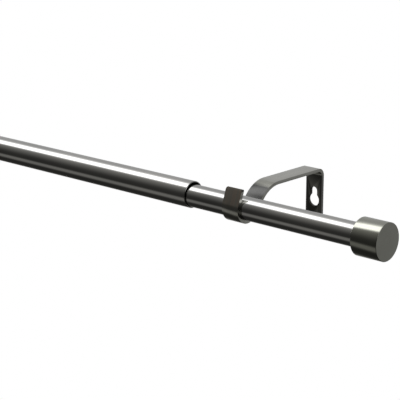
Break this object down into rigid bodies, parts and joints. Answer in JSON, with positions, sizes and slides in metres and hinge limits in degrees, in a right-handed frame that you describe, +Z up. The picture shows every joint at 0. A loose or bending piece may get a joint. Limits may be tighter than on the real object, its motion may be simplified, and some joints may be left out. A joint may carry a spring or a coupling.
{
  "type": "telescopic curtain rod with wall brackets",
  "caption": "Slim telescopic curtain rod of brushed nickel tubes with plain cylinder end caps, lying in bent strap wall brackets with keyhole plates.",
  "frame": {"origin": "on the wall's surface, at the centre of the round part of the right bracket's keyhole", "axes": "+X along the rod towards the thinner inner tube's cap, +Y into the wall, +Z up"},
  "size_m": [0.8275, 0.096, 0.0497],
  "materials": {
    "tube_metal": "brushed nickel plate",
    "bracket_metal": "brushed nickel plate on bent steel strap",
    "cap_metal": "brushed nickel plate, turned end face",
    "insert_plastic": "moulded black nylon",
    "screw_steel": "black oxide"
  },
  "bodies": {
    "right_bracket": {"right_bracket": "bracket_metal"},
    "left_bracket": {"left_bracket": "bracket_metal"},
    "outer_rod": {"outer_tube": "tube_metal"},
    "inner_rod": {"inner_tube": "tube_metal"},
    "left_cap": {"left_cap_shell": "cap_metal", "left_cap_insert": "insert_plastic"},
    "right_cap": {"right_cap_shell": "cap_metal", "right_cap_insert": "insert_plastic"},
    "left_set_screw": {"left_set_screw": "screw_steel"},
    "right_set_screw": {"right_set_screw": "screw_steel"}
  },
  "joints": [
    {"name": "bracket_spacing", "type": "slide", "parent": "right_bracket", "child": "left_bracket", "axis": [-1, 0, 0], "range_m": [-0.2, 0.085]},
    {"name": "rod_lift", "type": "slide", "parent": "right_bracket", "child": "outer_rod", "axis": [0, 0.4067, 0.9135], "range_m": [0, 0.03]},
    {"name": "telescope", "type": "slide", "parent": "outer_rod", "child": "inner_rod", "axis": [1, 0, 0], "range_m": [-0.088, 0.36]},
    {"name": "left_cap_pull", "type": "slide", "parent": "outer_rod", "child": "left_cap", "axis": [-1, 0, 0], "range_m": [0, 0.018]},
    {"name": "right_cap_pull", "type": "slide", "parent": "inner_rod", "child": "right_cap", "axis": [1, 0, 0], "range_m": [0, 0.018]},
    {"name": "left_set_screw_turn_out", "type": "slide", "parent": "left_bracket", "child": "left_set_screw", "axis": [0, 0.7193, -0.6947], "range_m": [0, 0.001]},
    {"name": "right_set_screw_turn_out", "type": "slide", "parent": "right_bracket", "child": "right_set_screw", "axis": [0, 0.7193, -0.6947], "range_m": [0, 0.001]}
  ]
}
